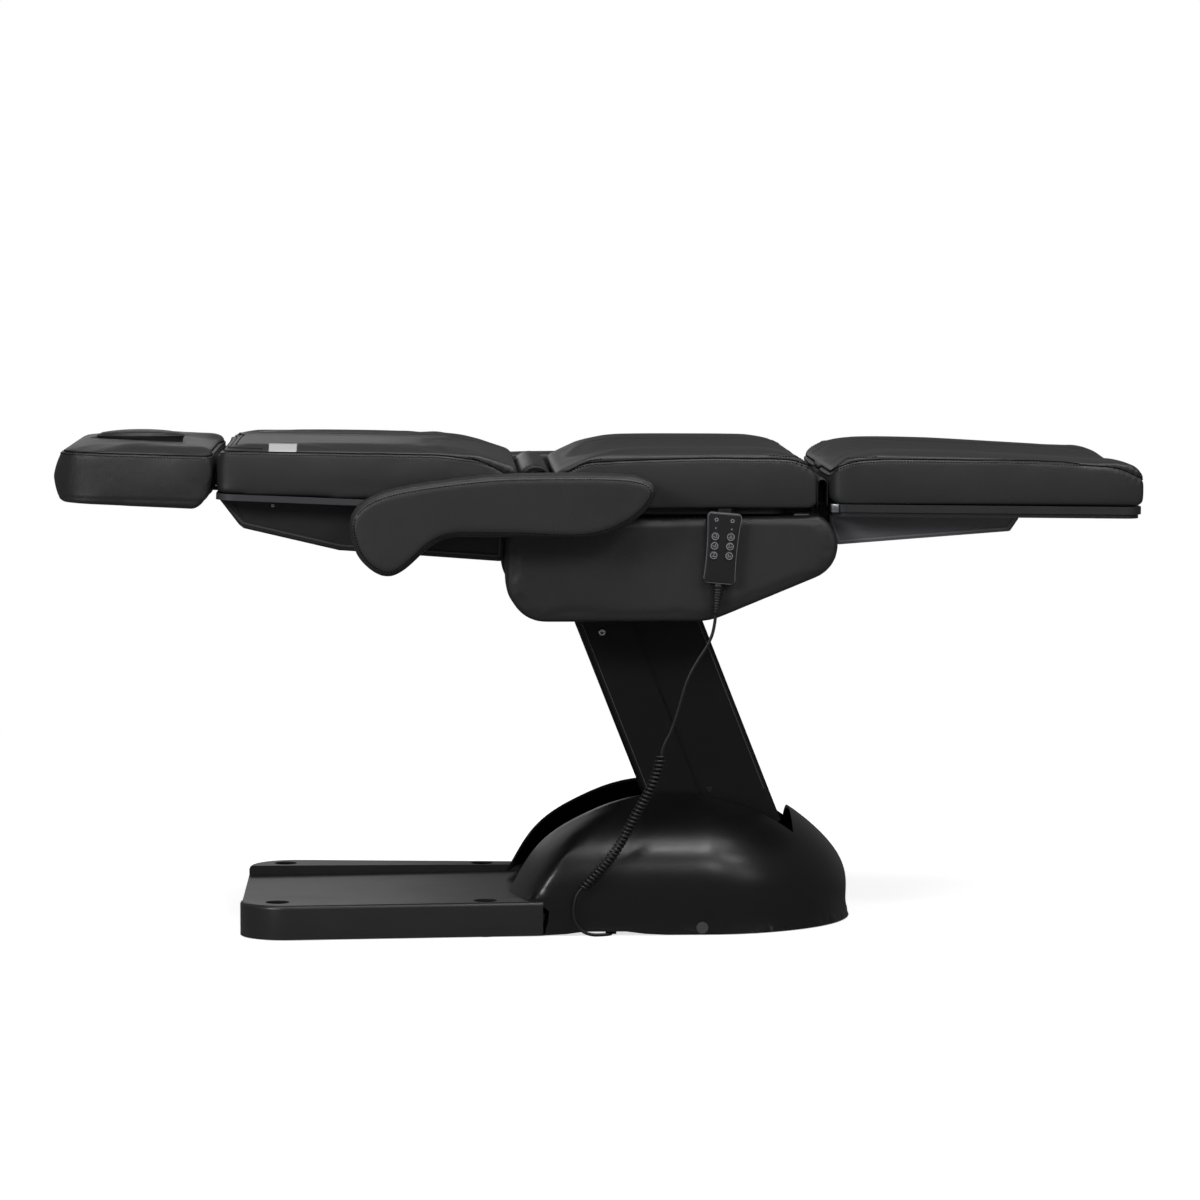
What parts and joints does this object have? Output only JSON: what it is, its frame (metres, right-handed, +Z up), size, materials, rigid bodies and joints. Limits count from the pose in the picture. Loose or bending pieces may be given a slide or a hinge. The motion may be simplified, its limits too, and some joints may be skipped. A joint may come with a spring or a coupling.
{
  "type": "electric treatment chair",
  "caption": "Electric treatment chair: padded headrest, backrest, seat and leg rest on a covered parallelogram lift with a wired handset.",
  "frame": {"origin": "centre of the bounding box on the floor", "axes": "+X towards the foot end, +Y towards the far side, +Z up"},
  "size_m": [1.8513, 0.8, 0.858],
  "materials": {
    "leatherette": "black grained upholstery leatherette, semi-gloss",
    "gusset_vinyl": "black flexible vinyl, satin",
    "board_plywood": "plain birch plywood",
    "slide_steel": "bright zinc-plated flat bar",
    "rim_plastic": "dark grey moulded plastic, satin",
    "tub_plastic": "black moulded plastic, fine grain",
    "frame_steel": "black powder coat, matt",
    "pin_steel": "ground steel",
    "bracket_steel": "zinc-plated steel",
    "cap_plastic": "black moulded plastic",
    "shell_plastic": "black moulded plastic, matt",
    "cover_plastic": "black moulded plastic, satin fine grain",
    "foot_rubber": "black rubber pad",
    "inlet_plastic": "black plastic",
    "motor_plastic": "dark grey plastic housing",
    "handset_plastic": "black moulded plastic, fine matt grain",
    "key_plastic": "grey soft-touch key",
    "cord_rubber": "black rubber-jacketed cord"
  },
  "bodies": {
    "base": {"base_frame": "frame_steel", "front_cover": "cover_plastic", "dome_cover": "cover_plastic", "levelling_feet": "foot_rubber", "lower_pivot_pins": "pin_steel", "side_caps": "cap_plastic", "power_inlet": "inlet_plastic", "control_box": "inlet_plastic", "cord_curl": "cord_rubber", "cord_lower": "cord_rubber"},
    "front_arm": {"front_arm": "frame_steel", "front_shell": "shell_plastic", "shell_screws": "bracket_steel"},
    "rear_arm": {"rear_arm": "frame_steel", "rear_shell": "shell_plastic", "shell_caps": "cap_plastic"},
    "seat": {"seat_frame": "frame_steel", "upper_pivot_pins": "pin_steel", "seat_board": "board_plywood", "seat_cushion": "leatherette", "skirt_right": "leatherette", "skirt_left": "leatherette", "skirt_clips": "bracket_steel", "back_gusset": "gusset_vinyl", "leg_gusset": "gusset_vinyl", "handset_hanger": "bracket_steel", "hinge_pins": "pin_steel", "cord_upper": "cord_rubber"},
    "backrest": {"backrest_frame": "frame_steel", "backrest_tub": "tub_plastic", "backrest_rim": "rim_plastic", "backrest_cushion": "leatherette"},
    "headrest_slide": {"headrest_slide": "slide_steel"},
    "headrest": {"headrest_board": "board_plywood", "headrest_cushion": "leatherette"},
    "face_plug": {"face_plug": "leatherette"},
    "armrest_right": {"armrest_core_right": "frame_steel", "armrest_pad_right": "leatherette"},
    "armrest_left": {"armrest_core_left": "frame_steel", "armrest_pad_left": "leatherette"},
    "armrest_link_right": {"armrest_link_right": "frame_steel"},
    "armrest_link_left": {"armrest_link_left": "frame_steel"},
    "legrest": {"legrest_frame": "frame_steel", "legrest_tub": "tub_plastic", "legrest_rim": "rim_plastic", "legrest_cushion": "leatherette"},
    "back_motor": {"back_motor": "motor_plastic"},
    "back_rod": {"back_rod": "pin_steel"},
    "leg_motor": {"leg_motor": "motor_plastic"},
    "leg_rod": {"leg_rod": "pin_steel"},
    "lift_motor": {"lift_motor": "motor_plastic"},
    "lift_rod": {"lift_rod": "pin_steel"},
    "handset": {"handset_shell": "handset_plastic", "handset_relief": "cord_rubber"},
    "key_back_up": {"key_back_up": "key_plastic"},
    "key_back_down": {"key_back_down": "key_plastic"},
    "key_lift_up": {"key_lift_up": "key_plastic"},
    "key_lift_down": {"key_lift_down": "key_plastic"},
    "key_leg_up": {"key_leg_up": "key_plastic"},
    "key_leg_down": {"key_leg_down": "key_plastic"}
  },
  "joints": [
    {"name": "lift", "type": "hinge", "parent": "base", "child": "front_arm", "pos_m": [0.173, 0, 0.15], "axis": [0, 1, 0], "range_deg": [-42, 0]},
    {"name": "rear_arm_turn", "type": "hinge", "parent": "base", "child": "rear_arm", "pos_m": [0.283, 0, 0.15], "axis": [0, 1, 0], "range_deg": [-42, 0]},
    {"name": "seat_level", "type": "hinge", "parent": "front_arm", "child": "seat", "pos_m": [-0.004, 0, 0.6], "axis": [0, 1, 0], "range_deg": [0, 42]},
    {"name": "recline", "type": "hinge", "parent": "seat", "child": "backrest", "pos_m": [-0.09, 0, 0.752], "axis": [0, 1, 0], "range_deg": [0, 75], "deforming": ["back_gusset"]},
    {"name": "headrest_extend", "type": "slide", "parent": "backrest", "child": "headrest_slide", "axis": [-0.9991, 0, 0.0417], "range_m": [0, 0.08]},
    {"name": "headrest_tilt", "type": "hinge", "parent": "headrest_slide", "child": "headrest", "pos_m": [-0.662, 0, 0.752], "axis": [0, 1, 0], "range_deg": [-30, 0]},
    {"name": "face_plug_lift", "type": "slide", "parent": "headrest", "child": "face_plug", "axis": [0, 0, 1], "range_m": [0, 0.08]},
    {"name": "legrest_lift", "type": "hinge", "parent": "seat", "child": "legrest", "pos_m": [0.4, 0, 0.702], "axis": [0, 1, 0], "range_deg": [0, 75], "deforming": ["leg_gusset"]},
    {"name": "armrest_right_level", "type": "hinge", "parent": "backrest", "child": "armrest_right", "pos_m": [-0.322, 0, 0.715], "axis": [0, 1, 0], "range_deg": [-75, 0]},
    {"name": "armrest_link_right_turn", "type": "hinge", "parent": "seat", "child": "armrest_link_right", "pos_m": [-0.09, 0, 0.724], "axis": [0, 1, 0], "range_deg": [0, 75]},
    {"name": "armrest_left_level", "type": "hinge", "parent": "backrest", "child": "armrest_left", "pos_m": [-0.322, 0, 0.715], "axis": [0, 1, 0], "range_deg": [-75, 0]},
    {"name": "armrest_link_left_turn", "type": "hinge", "parent": "seat", "child": "armrest_link_left", "pos_m": [-0.09, 0, 0.724], "axis": [0, 1, 0], "range_deg": [0, 75]},
    {"name": "back_motor_swing", "type": "hinge", "parent": "seat", "child": "back_motor", "pos_m": [0.128, 0, 0.648], "axis": [0, -1, 0], "range_deg": [-2.52, 0]},
    {"name": "back_rod_slide", "type": "slide", "parent": "back_motor", "child": "back_rod", "axis": [-0.9774, 0, 0.2115], "range_m": [0, 0.0739]},
    {"name": "leg_motor_swing", "type": "hinge", "parent": "seat", "child": "leg_motor", "pos_m": [0.164, 0, 0.648], "axis": [0, -1, 0], "range_deg": [0, 14.45]},
    {"name": "leg_rod_slide", "type": "slide", "parent": "leg_motor", "child": "leg_rod", "axis": [0.9995, 0, 0.032], "range_m": [-0.0324, 0]},
    {"name": "lift_motor_swing", "type": "hinge", "parent": "base", "child": "lift_motor", "pos_m": [0.173, 0, 0.15], "axis": [0, -1, 0], "range_deg": [0, 47.13]},
    {"name": "lift_rod_slide", "type": "slide", "parent": "lift_motor", "child": "lift_rod", "axis": [-0.1473, 0, 0.9891], "range_m": [-0.0704, 0]},
    {"name": "handset_lift_off", "type": "slide", "parent": "seat", "child": "handset", "axis": [0, -1, 0], "range_m": [0, 0.06]},
    {"name": "key_back_up_press", "type": "slide", "parent": "handset", "child": "key_back_up", "axis": [0, 1, 0], "range_m": [0, 0.001], "stiffness_N_per_m": 900, "springref_m": -0.0008},
    {"name": "key_back_down_press", "type": "slide", "parent": "handset", "child": "key_back_down", "axis": [0, 1, 0], "range_m": [0, 0.001], "stiffness_N_per_m": 900, "springref_m": -0.0008},
    {"name": "key_lift_up_press", "type": "slide", "parent": "handset", "child": "key_lift_up", "axis": [0, 1, 0], "range_m": [0, 0.001], "stiffness_N_per_m": 900, "springref_m": -0.0008},
    {"name": "key_lift_down_press", "type": "slide", "parent": "handset", "child": "key_lift_down", "axis": [0, 1, 0], "range_m": [0, 0.001], "stiffness_N_per_m": 900, "springref_m": -0.0008},
    {"name": "key_leg_up_press", "type": "slide", "parent": "handset", "child": "key_leg_up", "axis": [0, 1, 0], "range_m": [0, 0.001], "stiffness_N_per_m": 900, "springref_m": -0.0008},
    {"name": "key_leg_down_press", "type": "slide", "parent": "handset", "child": "key_leg_down", "axis": [0, 1, 0], "range_m": [0, 0.001], "stiffness_N_per_m": 900, "springref_m": -0.0008}
  ],
  "couplings": [
    {"joint": "rear_arm_turn", "follows": "lift", "ratio": 1},
    {"joint": "seat_level", "follows": "lift", "ratio": -1},
    {"joint": "armrest_right_level", "follows": "recline", "ratio": -1},
    {"joint": "armrest_link_right_turn", "follows": "recline", "ratio": 1},
    {"joint": "armrest_left_level", "follows": "recline", "ratio": -1},
    {"joint": "armrest_link_left_turn", "follows": "recline", "ratio": 1},
    {"joint": "back_motor_swing", "follows": "recline", "ratio": -0.03099},
    {"joint": "back_rod_slide", "follows": "recline", "m_per_rad": 0.055694},
    {"joint": "leg_motor_swing", "follows": "legrest_lift", "ratio": 0.19002},
    {"joint": "leg_rod_slide", "follows": "legrest_lift", "m_per_rad": -0.023997},
    {"joint": "lift_motor_swing", "follows": "lift", "ratio": -1.1175},
    {"joint": "lift_rod_slide", "follows": "lift", "m_per_rad": 0.094724}
  ]
}
